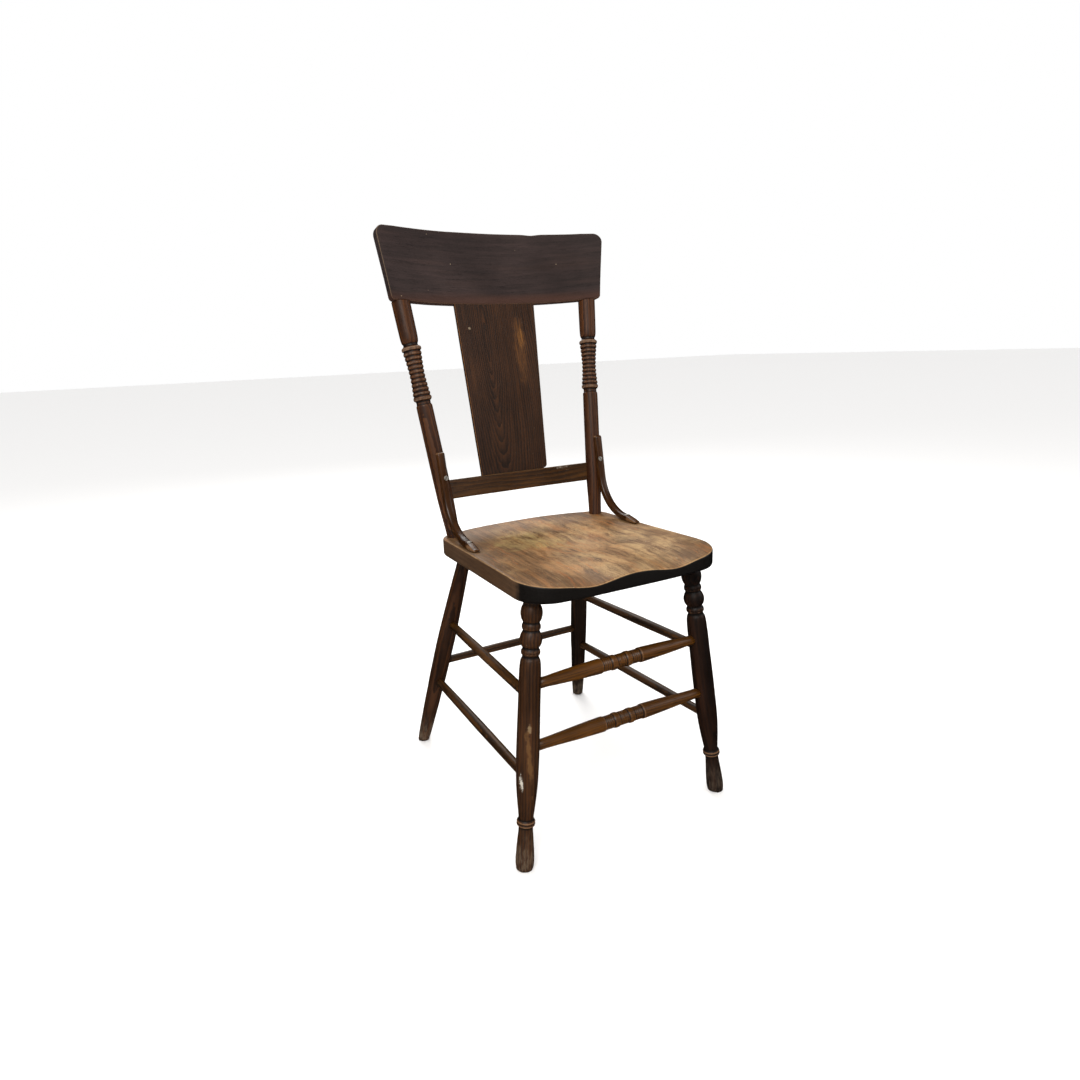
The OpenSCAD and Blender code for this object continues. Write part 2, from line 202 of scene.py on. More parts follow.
# grain, rings, pores, thinned stain, rubbed crests and dirty grooves, from the piece's own
# "grain" attribute, whose Z runs along the wood's fibres
def woodBase(tree, look):
    grain = addNode(tree, "Attribute", attribute_name="grain").outputs["Vector"]
    wear = addNode(tree, "Attribute", attribute_name="wear").outputs["Fac"]
    warp = addNode(tree, "TexNoise", {"Vector": stretched(tree, grain, grainScale["warp"]),
                                      "Scale": 1.0, "Detail": 2.0}).outputs["Color"]
    warp = vectorCalc(tree, "SUBTRACT", {0: warp, 1: (0.5, 0.5, 0.5)})
    warp = vectorCalc(tree, "SCALE", {0: warp, "Scale": look["waviness"]})
    bent = vectorCalc(tree, "ADD", {0: grain, 1: warp})
    heart = stretched(tree, bent, (1, 1, 1), look["pith"], look["pithTurn"])
    rings = addNode(tree, "TexWave", {"Vector": heart, "Scale": 0.314 / look["ringWidth"],
                                      "Distortion": 1.6, "Detail": 2.0, "Detail Scale": 1.5},
                    wave_type="RINGS", rings_direction="Z", wave_profile="SAW").outputs["Fac"]
    fibre = noiseAt(tree, stretched(tree, bent, grainScale["fibre"]), 1.0, 4.0, 0.65)
    coarse = noiseAt(tree, stretched(tree, bent, grainScale["coarse"]), 1.0, 3.0, 0.6)
    pores = noiseAt(tree, stretched(tree, grain, grainScale["pores"]), 1.0, 1.0)
    pores = times(tree, between(tree, pores, 0.60, 0.70), plus(tree, rings, 0.25), True)

    share = look["ringAmount"]
    figure = plus(tree, times(tree, rings, share),
                  times(tree, plus(tree, fibre, coarse), 0.75 - share / 2))
    color = blendColor(tree, between(tree, figure, 0.45, 1.0), tint(look["late"]),
                       tint(look["early"]))
    streaks = noiseAt(tree, stretched(tree, bent, grainScale["streaks"], (3, 1, 5)), 1.0, 4.0, 0.6)
    streaks = times(tree, between(tree, streaks, 0.5, 0.72), minus(tree, 1.25, fibre), True)
    color = blendColor(tree, times(tree, streaks, look["warmAmount"]), color, tint(look["warm"]))
    cloud = noiseAt(tree, grain, 11.0, 3.0, 0.5)
    parts = {"grain": grain, "fibre": fibre, "color": addNode(tree, "HueSaturation", {
        "Color": color, "Value": spread(tree, cloud, 0.78, 1.22),
        "Saturation": look["richness"]}).outputs[0]}
    daub(tree, parts, times(tree, pores, 0.55), look["grime"])

    ragged = noiseAt(tree, stretched(tree, grain, grainScale["rub"], (7, 2, 4)), 1.0, 4.0, 0.6)
    rub = between(tree, plus(tree, wear, minus(tree, ragged, 0.62)), 0.25, 0.8)
    parts["rub"] = times(tree, rub, look["wornAmount"])
    daub(tree, parts, parts["rub"], look["worn"])
    dirt = between(tree, times(tree, wear, -1.0), 0.08, 0.55)
    daub(tree, parts, times(tree, dirt, 0.85), look["grime"])
    flecks = flecksAt(tree, grain, 95.0, 37.0, 1.0, 0.245)
    daub(tree, parts, times(tree, flecks, look["speckAmount"]), look["speck"])

    gloss = plus(tree, times(tree, cloud, 0.5), times(tree, fibre, 0.5))
    parts["rough"] = plus(tree, spread(tree, gloss, *look["rough"]),
                          times(tree, parts["rub"], 0.12), True)
    height = minus(tree, times(tree, fibre, 0.35), times(tree, pores, 0.8))
    parts["height"] = minus(tree, height, times(tree, rings, 0.18))
    return parts


def startFinish(name):
    material = bpy.data.materials.new(name)
    material.use_nodes = True
    material.node_tree.nodes.clear()
    return material, material.node_tree


def surface(tree, color, rough, **inputs):
    shader = addNode(tree, "BsdfPrincipled", {"Base Color": color, "Roughness": rough, **inputs})
    addNode(tree, "OutputMaterial", {"Surface": shader.outputs[0]})


def bumped(tree, height, strength, deep):
    return addNode(tree, "Bump", {"Height": height, "Strength": strength,
                                  "Distance": deep * mm}).outputs[0]


def closeFinish(tree, parts, look):
    surface(tree, parts["color"], parts["rough"], **{
        "Normal": bumped(tree, parts["height"], look["bump"], 0.4), "IOR": 1.5,
        "Specular IOR Level": look["shine"]})


def woodFinish(name, changes, marks=None):
    look = {**woodDefaults, **changes}
    material, tree = startFinish(name)
    parts = woodBase(tree, look)
    if marks:
        marks(tree, parts)
    closeFinish(tree, parts, look)
    return material


def objectPlace(tree):
    return addNode(tree, "TexCoord").outputs["Object"]


# feet: the stain is scuffed off near the floor
def scuffedFeet(tree, parts, strength=0.65):
    place = objectPlace(tree)
    height = addNode(tree, "SeparateXYZ", {0: place}).outputs["Z"]
    ragged = plus(tree, height, times(tree, noiseAt(tree, place, 55.0, 5.0), 0.07))
    low = minus(tree, 1.0, between(tree, ragged, 0.045, 0.105))
    grit = noiseAt(tree, stretched(tree, parts["grain"], grainScale["scuff"]), 1.0, 5.0, 0.7)
    grit = times(tree, between(tree, grit, 0.4, 0.62), strength)
    daub(tree, parts, times(tree, low, grit), "#6b5a45")
    parts["rough"] = plus(tree, parts["rough"], times(tree, low, 0.15), True)


# the front leg on the -X side: a dribble of white paint, a knocked spot above it and a rubbed
# streak between them
def frontLegMarks(tree, parts):
    scuffedFeet(tree, parts)
    place = objectPlace(tree)
    paint = patch(tree, place, (-0.1905, -0.2055, 0.141), (0.0017, 0.008, 0.012), 0.9, 520.0)
    daub(tree, parts, times(tree, paint, 0.8), "#c9c2b4")
    knock = patch(tree, place, (-0.1745, -0.207, 0.223), (0.0032, 0.010, 0.008), 0.5, 260.0)
    daub(tree, parts, times(tree, knock, 0.6), "#8d7552")
    rubbed = patch(tree, place, (-0.178, -0.206, 0.175), (0.0045, 0.012, 0.06), 0.5, 120.0)
    daub(tree, parts, times(tree, rubbed, times(tree, parts["fibre"], 0.8), True), "#7d5523")


# crest: a redder margin along its lower edge
def crestMargin(tree, parts):
    across = addNode(tree, "SeparateXYZ", {0: parts["grain"]}).outputs["Y"]
    ragged = noiseAt(tree, stretched(tree, parts["grain"], (30, 30, 5)), 1.0, 3.0)
    ragged = plus(tree, across, times(tree, ragged, 0.022))
    low = minus(tree, 1.0, between(tree, ragged, 0.016, 0.034))
    daub(tree, parts, times(tree, low, 0.6), "#4a2c1e")


# splat: an orange streak with a brighter core at one upper corner, a bruise at the other
def splatMarks(tree, parts):
    place = objectPlace(tree)
    lines = between(tree, parts["fibre"], 0.62, 0.35)
    for centre, reach, strength, shade in (
            ((0.044, 0.172, 0.768), (0.017, 0.04, 0.085), 0.42, "#714309"),
            ((0.046, 0.172, 0.781), (0.0065, 0.04, 0.030), 0.5, "#965e0d")):
        streak = patch(tree, place, centre, reach, 0.25, 60.0)
        amount = plus(tree, times(tree, lines, strength), 0.06)
        daub(tree, parts, times(tree, streak, amount, True), shade)
    bruise = patch(tree, place, (-0.0575, 0.178, 0.803), (0.0035, 0.02, 0.0028), 0.3, 300.0)
    daub(tree, parts, times(tree, bruise, 0.7), "#8c7a60")


# lower rail: the varnish is rubbed pale beside the splat
def railMarks(tree, parts):
    rubbed = patch(tree, objectPlace(tree), (0.092, 0.112, 0.5385), (0.026, 0.012, 0.0045), 0.3,
                   150.0)
    daub(tree, parts, times(tree, rubbed, 0.8), "#a89c8c")


seatLook = {
    **woodDefaults,
    "early": "#5f4731", "late": "#8a6a4d", "warm": "#a06f45", "worn": "#bd9465",
    "grime": "#2a1d14", "speck": "#d8c4a2", "ringWidth": 9 * mm, "pith": (0.0, 0.16, 0.0),
    "warmAmount": 0.6, "wornAmount": 0.55, "speckAmount": 0.2, "rough": (0.38, 0.58),
    "bump": 0.35, "ringAmount": 0.15, "richness": 1.12,
    "tan": "#cba773",           # bare wood
    "pink": "#bf915f",
    "yellow": "#b89f64",        # old varnish
    "orange": "#a8622a",
    "shadow": "#5f4930",
    "scratch": "#cfae80",
    # painted shade for the faces that look forward
    "frontEdgeShade": "#0b0908",
    "sideEdge": "#3c2818",
}
# turn, seed and strength of each family of scratches
scratchFamilies = ((0.1, 3.0, 0.45), (-0.5, 9.0, 0.3), (0.9, 14.0, 0.25))


def makeSeatFinish():
    look = seatLook
    material, tree = startFinish("wornSeatWood")
    parts = woodBase(tree, look)
    place = objectPlace(tree)
    normal = addNode(tree, "SeparateXYZ", {0: addNode(tree, "NewGeometry").outputs["Normal"]})
    top = between(tree, normal.outputs["Z"], 0.45, 0.85)
    # every face but the top keeps a darker brown stain, and the faces that look forward are
    # painted near-black as painted shade
    edge = {"color": blendColor(tree, 0.8, parts["color"], tint(look["sideEdge"]))}

    # where the sitter has rubbed the stain away
    rubbed = patch(tree, place, (0.03, -0.08, 0.44), (0.20, 0.215, 0.2), 0.42, 14.0)
    wander = addNode(tree, "TexNoise", {"Vector": place, "Scale": 16.0, "Detail": 3.0})
    drift = vectorCalc(tree, "SCALE", {0: wander.outputs["Color"], "Scale": 0.035})
    drift = vectorCalc(tree, "ADD", {0: place, 1: drift})
    blots = noiseAt(tree, stretched(tree, drift, (30, 12, 22), (1.2, 0.4, 0)), 1.0, 8.0, 0.68)
    lines = noiseAt(tree, stretched(tree, drift, (190, 8, 40), (5, 0, 0)), 1.0, 5.0, 0.7)
    grit = noiseAt(tree, place, 330.0, 3.0, 0.6)
    mottle = plus(tree, times(tree, blots, 0.6),
                  plus(tree, times(tree, lines, 0.3), times(tree, grit, 0.18)))
    bare = times(tree, rubbed, between(tree, mottle, 0.45, 0.61), True)
    choice = noiseAt(tree, stretched(tree, drift, (11, 8, 9), (0.3, 2.1, 0)), 1.0, 4.0, 0.6)
    pale = blendColor(tree, between(tree, choice, 0.44, 0.62), tint(look["tan"]),
                      tint(look["pink"]))
    parts["color"] = blendColor(tree, times(tree, bare, 0.7), parts["color"], pale)

    # old varnish left yellow around the middle, dark along one side and at the back
    olive = patch(tree, drift, (-0.035, 0.012, 0.44), (0.075, 0.06, 0.2), 0.7, 30.0)
    yellowed = times(tree, between(tree, mottle, 0.42, 0.62), 0.62)
    daub(tree, parts, times(tree, olive, yellowed), look["yellow"])
    streaks = times(tree, between(tree, lines, 0.52, 0.66), between(tree, choice, 0.4, 0.56))
    daub(tree, parts, times(tree, streaks, 0.65), look["orange"])
    kept = patch(tree, drift, (-0.125, 0.045, 0.44), (0.085, 0.15, 0.2), 0.6, 22.0)
    bruise = noiseAt(tree, stretched(tree, drift, (26, 11, 17), (4.2, 1.7, 0)), 1.0, 6.0, 0.65)
    bruise = times(tree, between(tree, bruise, 0.50, 0.70), 0.6)
    daub(tree, parts, calc(tree, "MAXIMUM", times(tree, kept, 0.35), bruise), look["shadow"])
    daub(tree, parts, times(tree, between(tree, grit, 0.56, 0.68), 0.45), look["grime"])

    # scratches, most of them along the grain, and flecks
    for turn, seed, strength in scratchFamilies:
        mark = noiseAt(tree, stretched(tree, place, (520, 14, 60), (seed, seed, 0), (0, 0, turn)),
                       1.0, 2.0, 0.5)
        daub(tree, parts, times(tree, between(tree, mark, 0.70, 0.76), strength), look["scratch"])
    flecks = flecksAt(tree, place, 150.0, 45.0, 2.0, 0.29)
    daub(tree, parts, times(tree, flecks, 0.7), look["speck"])
    # the rim is rubbed pale in broken stretches
    broken = between(tree, noiseAt(tree, place, 48.0, 4.0, 0.7), 0.48, 0.62)
    daub(tree, parts, times(tree, parts["rub"], broken), look["worn"])

    # painted shade: the more a face looks towards the front, the nearer to black it is painted
    ahead = minus(tree, times(tree, blots, 0.7), plus(tree, normal.outputs["Y"], 0.35))
    daub(tree, edge, times(tree, between(tree, ahead, 0.0, 0.4), 0.96), look["frontEdgeShade"])
    parts["color"] = blendColor(tree, top, edge["color"], parts["color"])
    parts["rough"] = plus(tree, parts["rough"], times(tree, bare, 0.08), True)
    closeFinish(tree, parts, look)
    return material


screwLook = {"steel": "#3a3531", "rim": "#cdc8be", "dirt": "#100d0b"}


def makeScrewFinish():
    material, tree = startFinish("agedScrewSteel")
    wear = addNode(tree, "Attribute", attribute_name="wear").outputs["Fac"]
    grime = noiseAt(tree, objectPlace(tree), 420.0, 4.0, 0.6)
    color = blendColor(tree, between(tree, grime, 0.35, 0.65), tint(screwLook["dirt"]),
                       tint(screwLook["steel"]))
    color = blendColor(tree, between(tree, wear, 0.2, 0.9), color, tint(screwLook["rim"]))
    surface(tree, color, spread(tree, grime, 0.55, 0.3), Metallic=0.85,
            Normal=bumped(tree, grime, 0.3, 0.1))
    return material


woodLooks = {
    "frontLegLeft": ("frontLegWood", {
        "early": "#28160b", "late": "#422813", "warmAmount": 0.7, "richness": 1.5},
        frontLegMarks),
    # painted shade: the front leg on the +X side is a darker copy of the leg wood, with weaker
    # scuffing at the foot, for the shade it stands in
    "frontLegRight": ("shadedLegWood", {
        "early": "#160c08", "late": "#25160e", "warm": "#432513", "warmAmount": 0.5},
        lambda tree, parts: scuffedFeet(tree, parts, 0.3)),
    "rearLegLeft": ("rearLegWood", {
        "early": "#231309", "late": "#40230d", "warmAmount": 0.45, "richness": 1.45},
        scuffedFeet),
    # painted shade: the rear leg on the +X side is a darker copy of the leg wood, for the shade it
    # stands in
    "rearLegRight": ("farLegPaintedShadeWood", {
        "early": "#180f09", "late": "#2c1b10", "warmAmount": 0.2}, scuffedFeet),
    "post": ("postWood", {
        "early": "#301e16", "late": "#4f3628", "warm": "#67442e", "worn": "#7d6149"}),
    "frontRung": ("frontRungWood", {
        "early": "#362110", "late": "#5c3c1f", "warm": "#764a20", "warmAmount": 0.6,
        "rough": (0.28, 0.46), "shine": 0.55, "speckAmount": 0.5, "ringWidth": 2.5 * mm}),
    "rung": ("rungWood", {
        "early": "#271a10", "late": "#493220", "warm": "#6c4c2f", "worn": "#93795e"}),
    # crest: a dark stain; the grey, barely saturated cast of these colours is a painted reflection
    # of the surroundings
    "crest": ("crestWoodAndReflection", {
        "early": "#2b2220", "late": "#362a28", "warm": "#3f2d26", "worn": "#6d5a44",
        "warmAmount": 0.35, "speckAmount": 0.6, "rough": (0.5, 0.68), "bump": 0.25,
        "ringWidth": 14 * mm, "ringAmount": 0.12, "pith": (0.02, 0.3, 0.0), "shine": 0.2,
        "richness": 1.05}, crestMargin),
    "splat": ("splatWood", {
        "early": "#21150d", "late": "#422b1d", "warm": "#55351d", "worn": "#9a622c",
        "ringWidth": 3.8 * mm, "ringAmount": 0.4, "waviness": 0.045,
        "pith": (0.02, 0.035, -0.09), "pithTurn": (0.13, 0.02, 0.0),
        "warmAmount": 0.35, "wornAmount": 0.95, "rough": (0.42, 0.6)}, splatMarks),
    "lowerRail": ("lowerRailWood", {
        "early": "#28180a", "late": "#4a2f16", "warm": "#60401e", "worn": "#7a5f40",
        "wornAmount": 0.5, "ringWidth": 5 * mm, "ringAmount": 0.35, "waviness": 0.04,
        "rough": (0.34, 0.52)}, railMarks),
    "brace": ("bentWood", {
        "early": "#27180f", "late": "#432c1d", "warm": "#573823", "worn": "#7a5736",
        "ringWidth": 3 * mm, "ringAmount": 0.2, "rough": (0.26, 0.42), "shine": 0.5,
        "bump": 0.25}),
}
finishes = {key: woodFinish(*row) for key, row in woodLooks.items()}
finishes["seat"] = makeSeatFinish()
finishes["screw"] = makeScrewFinish()
print("finishes made:", len(finishes))


# mesh helpers
def throughPoints(points, steps):
    last = len(points) - 1
    line = []
    for i in range(last):
        a, b = Vector(points[max(i - 1, 0)]), Vector(points[i])
        c, d = Vector(points[i + 1]), Vector(points[min(i + 2, last)])
        for k in range(steps):
            t = k / steps
            line.append(0.5 * (2 * b + (c - a) * t + (2 * a - 5 * b + 4 * c - d) * t * t
                               + (3 * b - a - 3 * c + d) * t ** 3))
    line.append(Vector(points[last]))
    return line


def arcPoints(centre, radius, start, end, steps):
    turns = [math.radians(start + (end - start) * k / steps) for k in range(steps + 1)]
    return [Vector((centre[0] + radius * math.cos(t), centre[1] + radius * math.sin(t)))
            for t in turns]


def alongAxis(start, end):
    way = end - start
    return Matrix.Translation(start) @ way.to_track_quat("Z", "Y").to_matrix().to_4x4()


def atHeight(start, end, z):
    return start.lerp(end, (z - start.z) / (end.z - start.z))


def sided(point, side):
    return Vector((side * point[0], point[1], point[2]))


def newMesh():
    bm = bmesh.new()
    bm.verts.layers.float_vector.new("grain")
    bm.verts.layers.float.new("wear")
    return bm


def wearOf(bm):
    return bm.verts.layers.float["wear"]


# remembers where each vertex lies in the wood; turnAxes puts the fibres on Z
def keepGrain(bm, seed, turnAxes=lambda p: p):
    layer = bm.verts.layers.float_vector["grain"]
    away = Vector((seed * 0.731, seed * 0.417, seed * 0.553))
    for v in bm.verts:
        v[layer] = turnAxes(v.co) + away * 0.4


# hand-made unevenness of each kind of piece: a slow wobble and small dents, in millimetres
unevenness = {
    "leg": (0.25, 0.5), "rung": (0.2, 0.35), "frontRung": (0.15, 0.4), "post": (0.2, 0.35),
    "crest": (0.5, 0.3), "lowerRail": (0.3, 0.3), "splat": (0.3, 0.2), "seat": (0.4, 0.5),
    "brace": (0.25, 0.3),
}


def roughen(bm, kind, seed):
    wobble, dents = unevenness[kind]
    bm.normal_update()
    for v in bm.verts:
        slow = noise.noise(v.co * 14 + Vector((seed, 0, 0)))
        quick = noise.noise(v.co * 120 + Vector((0, seed, 0)))
        v.co += v.normal * (wobble * mm * slow - dents * mm * max(0.0, quick - 0.35))


def finishPiece(bm, name, node, finish):
    bmesh.ops.remove_doubles(bm, verts=bm.verts, dist=1e-6)
    bmesh.ops.recalc_face_normals(bm, faces=bm.faces)
    mesh = bpy.data.meshes.new(name)
    bm.to_mesh(mesh)
    bm.free()
    mesh.materials.append(finishes[finish])
    mesh.shade_smooth()
    piece = addObject(name, mesh)
    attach(piece, "root")
    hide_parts(node)


# how far a turned outline stands above its own neighbourhood: crests wear, grooves fill; both
# values are millimetres, and a crest of fullWear is worn right through
def crestAlong(outline, reach=2.6, fullWear=1.3):
    def radiusAt(s):
        for a, b in zip(outline, outline[1:]):
            if a[1] <= s <= b[1] and b[1] > a[1]:
                return a[0] + (b[0] - a[0]) * (s - a[1]) / (b[1] - a[1])
        return outline[0][0] if s < outline[0][1] else outline[-1][0]
    rises = [r - (radiusAt(s - reach) + radiusAt(s + reach)) / 2 for r, s in outline]
    return [max(-1.0, min(1.0, rise / fullWear)) for rise in rises]


# outline is a list of (radius, distance along the axis) in millimetres
def turnedMesh(outline, sides):
    bm = newMesh()
    wear = wearOf(bm)
    crests = crestAlong(outline)
    rim = []
    points = [(0, outline[0][1])] + [tuple(p) for p in outline] + [(0, outline[-1][1])]
    for (r, s), crest in zip(points, [0] + crests + [0]):
        v = bm.verts.new((r * mm, 0, s * mm))
        v[wear] = crest
        rim.append(v)
    edges = [bm.edges.new(pair) for pair in zip(rim, rim[1:])]
    bmesh.ops.spin(bm, geom=rim + edges, cent=(0, 0, 0), axis=(0, 0, 1), angle=math.tau,
                   steps=sides, use_merge=True, use_duplicate=False)
    bmesh.ops.remove_doubles(bm, verts=bm.verts, dist=1e-7)
    bmesh.ops.recalc_face_normals(bm, faces=bm.faces)
    return bm


# keeps one kind of element from what a mesh operator gave back
def only(kind, geom):
    return [item for item in geom if isinstance(item, getattr(bmesh.types, "BM" + kind))]


def slicePlane(bm, place, normal, **settings):
    return bmesh.ops.bisect_plane(bm, geom=bm.verts[:] + bm.edges[:] + bm.faces[:],
                                  plane_co=place, plane_no=normal, **settings)


def roundOff(bm, edges, offset, segments, **settings):
    return bmesh.ops.bevel(bm, geom=edges, offset=offset * mm, offset_type="OFFSET",
                           segments=segments, profile=0.5, affect="EDGES", material=-1,
                           **settings)["verts"]


def cutBeyond(bm, place, normal):
    cut = slicePlane(bm, place, normal, clear_outer=True, dist=1e-7)
    rim = only("Edge", cut["geom_cut"])
    bmesh.ops.holes_fill(bm, edges=rim, sides=0)
    return rim


# frame dimensions, in metres
axes = {
    "frontLeg": (Vector((0.1908, -0.2047, 0)), Vector((0.1477, -0.1798, 0.414))),
    "rearLeg": (Vector((0.1858, 0.2244, 0)), Vector((0.1217, 0.1038, 0.414))),
    "post": (Vector((0.1497, 0.0914, 0.446)), Vector((0.1898, 0.1686, 0.848))),
}
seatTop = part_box("seat")[1].z
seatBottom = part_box("seat")[0].z

# legs: (radius, distance up the leg) in millimetres
frontLegShape = {
    "foot": [(12.7, -6), (12.9, 0), (14.1, 11), (13.6, 27), (12.4, 43), (10.9, 62), (11.1, 67.5)],
    "collar": [(13.5, 69.5), (14.1, 71.3), (13.4, 73), (14.0, 75), (13.2, 77)],
    "shaft": [(11.5, 78.5), (11.7, 84), (13.9, 104), (16.3, 133), (17.1, 163), (17.2, 199),
              (17.0, 227), (16.6, 261), (16.5, 290), (15.9, 312), (14.8, 322), (13.2, 326)],
    "beads": [(12.2, 328), (12.4, 330), (14.0, 332.5), (14.3, 335), (14.0, 337.5), (12.5, 340),
              (12.4, 342), (15.2, 346.5), (16.7, 353.5), (15.4, 360.5), (12.5, 366.5),
              (12.5, 368), (13.8, 370.5), (14.0, 373), (13.7, 375.5), (12.5, 378), (12.6, 380),
              (15.0, 385), (16.3, 393), (15.2, 400.5), (12.9, 406), (12.6, 411), (12.6, 422)],
    "sides": 72,
    "footRound": 2.2,
}
rearLegShape = {
    "shaft": [(10.3, -14), (10.6, 0), (11.7, 14), (12.9, 40), (14.5, 97), (14.9, 125), (15.9, 150),
              (16.4, 200), (16.3, 255), (14.5, 329), (13.0, 372), (12.0, 395), (11.8, 420),
              (11.8, 441)],
    "sides": 64,
    "footRound": 2.6,
}


def makeLeg(name, node, outline, axis, side, shape, seed):
    bm = turnedMesh(outline, shape["sides"])
    keepGrain(bm, seed)
    roughen(bm, "leg", seed)
    bm.transform(alongAxis(sided(axis[0], side), sided(axis[1], side)))
    rim = cutBeyond(bm, (0, 0, 0), (0, 0, -1))
    for v in roundOff(bm, rim, shape["footRound"], 3):
        v[wearOf(bm)] = 0.6
    finishPiece(bm, name, node, name)


def makeLegs():
    frontOutline = sum((throughPoints(frontLegShape[part], steps) for part, steps in
                        (("foot", 5), ("collar", 4), ("shaft", 6), ("beads", 5))), [])
    rearOutline = throughPoints(rearLegShape["shaft"], 6)
    for side, word in bothSides:
        node = word.lower()
        makeLeg("frontLeg" + word, "front_leg_" + node, frontOutline, axes["frontLeg"], side,
                frontLegShape, 3 + side)
        makeLeg("rearLeg" + word, "rear_leg_" + node, rearOutline, axes["rearLeg"], side,
                rearLegShape, 8 + side)


makeLegs()
print("legs turned")

# stretchers: heights in metres, radii in millimetres
rungShape = {
    "sideUpper": 0.265,
    "sideLower": 0.141,
    "rear": 0.182,
    "frontUpper": 0.281,
    "frontLower": 0.186,
    "sideRadius": (7.3, 8.2),
    "rearRadius": (7.0, 7.7),
    "inset": 4,            # each end stops this far short of the leg's axis
    "sides": 40,
}
frontRungShape = {
    "ring": 10.8,
    "bead": 11.9,
    "swell": 11.9,
    "end": 8.0,
    "groove": 1.15,
    "sides": 56,
}


def plainRungOutline(length, endRadius, midRadius):
    half = (endRadius + midRadius) / 2
    return ([Vector((endRadius, 0))]
            + throughPoints([(endRadius, 24), (half, length * 0.25), (midRadius, length / 2),
                             (half, length * 0.75), (endRadius, length - 24)], 8)
            + [Vector((endRadius, length))])


# a run of rounded rings between two distances; each ring has points on both sides of its crest,
# a share of the pitch apart
ringProfile = {"points": 3, "apart": 0.155, "roundness": 2.2}


def ringRun(start, end, count, radius, groove):
    pitch = (end - start) / count
    points, apart, roundness = ringProfile.values()
    return [Vector((radius(i / max(count - 1, 1)) - groove * (abs(k) / points) ** roundness,
                    start + pitch * (i + 0.5) + k * pitch * apart))
            for i in range(count) for k in range(-points, points + 1)]


def frontRungHalf(half):
    shape = frontRungShape
    flat = lambda t: shape["ring"]
    return ([Vector((shape["ring"], 0))]
            + ringRun(1.3, 7.7, 2, flat, shape["groove"])
            + throughPoints([(10.1, 8.4), (shape["bead"] - 0.3, 10.5), (shape["bead"], 14),
                             (shape["bead"] - 0.3, 17.5), (10.1, 19.8)], 4)
            + ringRun(20.4, 35.0, 4, flat, shape["groove"])
            + throughPoints([(10.2, 35.8), (11.5, 37), (shape["swell"], 39.5), (11.6, 52),
                             (10.5, 85), (8.9, 118), (shape["end"], half - 26)], 6)
            + [Vector((shape["end"], half))])


def makePlainRung(name, node, start, end, radii, seed):
    gap = rungShape["inset"]
    length = (end - start).length / mm - 2 * gap
    bm = turnedMesh([Vector((p.x, p.y + gap)) for p in plainRungOutline(length, *radii)],
                    rungShape["sides"])
    keepGrain(bm, seed)
    roughen(bm, "rung", seed)
    bm.transform(alongAxis(start, end))
    finishPiece(bm, name, node, "rung")


def makeRungs():
    front, rear = axes["frontLeg"], axes["rearLeg"]
    for side, word in bothSides:
        for level in ("Upper", "Lower"):
            z = rungShape["side" + level]
            makePlainRung("sideRung" + level + word,
                          "side_stretcher_" + level.lower() + "_" + word.lower(),
                          sided(atHeight(*front, z), side), sided(atHeight(*rear, z), side),
                          rungShape["sideRadius"], z * 40 + side)
    end = atHeight(*rear, rungShape["rear"])
    makePlainRung("rearRung", "rear_stretcher", sided(end, left), end, rungShape["rearRadius"], 21)
    for level, seed in (("Upper", 31), ("Lower", 36)):
        z = rungShape["front" + level]
        end = atHeight(*front, z)
        half = frontRungHalf(end.x / mm - rungShape["inset"])
        outline = [Vector((p.x, -p.y)) for p in reversed(half[1:])] + half
        bm = turnedMesh(outline, frontRungShape["sides"])
        keepGrain(bm, seed)
        roughen(bm, "frontRung", seed)
        bm.transform(alongAxis(Vector((0, end.y, z)), end))
        finishPiece(bm, "frontRung" + level, "front_stretcher_" + level.lower(), "frontRung")


makeRungs()
print("stretchers turned")

# the back leans about a line through the seat; crest values are millimetres up that lean
backLean = {
    "angle": 10.5,
    "foot": (0, 0.118, 0.446),
}
leaning = (Matrix.Translation(backLean["foot"])
           @ Matrix.Rotation(math.radians(-backLean["angle"]), 4, "X"))

crestShape = {
    "bottom": 406,          # up the lean from the seat
    "height": 124.5,
    "halfBottom": 212,
    "halfTop": 225.6,
    "thickness": 18,
    "bend": 570,
    "middle": 8,
    "crown": 6,
    "topCorner": 17,
    "bottomCorner": 7,
    "edge": 3,
    "dip": (92, 13, 1.8),   # worn hollow in the top edge: place, width, depth
}

# back posts: (radius, distance up the post) in millimetres
postShape = {
    "lower": [(11.7, -6), (11.8, 4), (12.3, 23), (13.9, 62), (14.2, 100), (14.1, 158),
              (14.1, 212), (14.0, 226), (13.9, 232), (13.3, 233.8)],
    "neck": [(12.5, 234.6), (12.3, 237.5), (12.4, 240), (12.9, 241.3)],
    "rings": (242, 326.8, 11),
    "ringEnds": 15.9,
    "ringWaist": 13.4,
    "groove": 1.5,
    "topRing": [(15.0, 327.6), (16.6, 329), (17.1, 331.3), (16.6, 333.6), (14.6, 335.2)],
    "upper": [(12.8, 337), (12.7, 340), (14.3, 343), (15.4, 352), (15.8, 380), (16.0, 407),
              (16.0, 414)],
    "sides": 64,
}


def makePosts():
    shape = postShape
    envelope = lambda t: (shape["ringWaist"] + (shape["ringEnds"] - shape["ringWaist"])
                          * abs(2 * t - 1) ** 1.6)
    outline = (throughPoints(shape["lower"], 6) + throughPoints(shape["neck"], 3)
               + ringRun(*shape["rings"], envelope, shape["groove"])
               + throughPoints(shape["topRing"], 4) + throughPoints(shape["upper"], 6))
    for side, word in bothSides:
        bm = turnedMesh(outline, shape["sides"])
        keepGrain(bm, 13 + side)
        roughen(bm, "post", 13 + side)
        bm.transform(alongAxis(sided(axes["post"][0], side), sided(axes["post"][1], side)))
        rim = cutBeyond(bm, leaning @ Vector((0, 0, (crestShape["bottom"] + 0.3) * mm)),
                       leaning.to_3x3() @ Vector((0, 0, 1)))
        roundOff(bm, rim, 0.8, 2)
        finishPiece(bm, "backPost" + word, "back_post_" + word.lower(), "post")


makePosts()
print("posts turned")


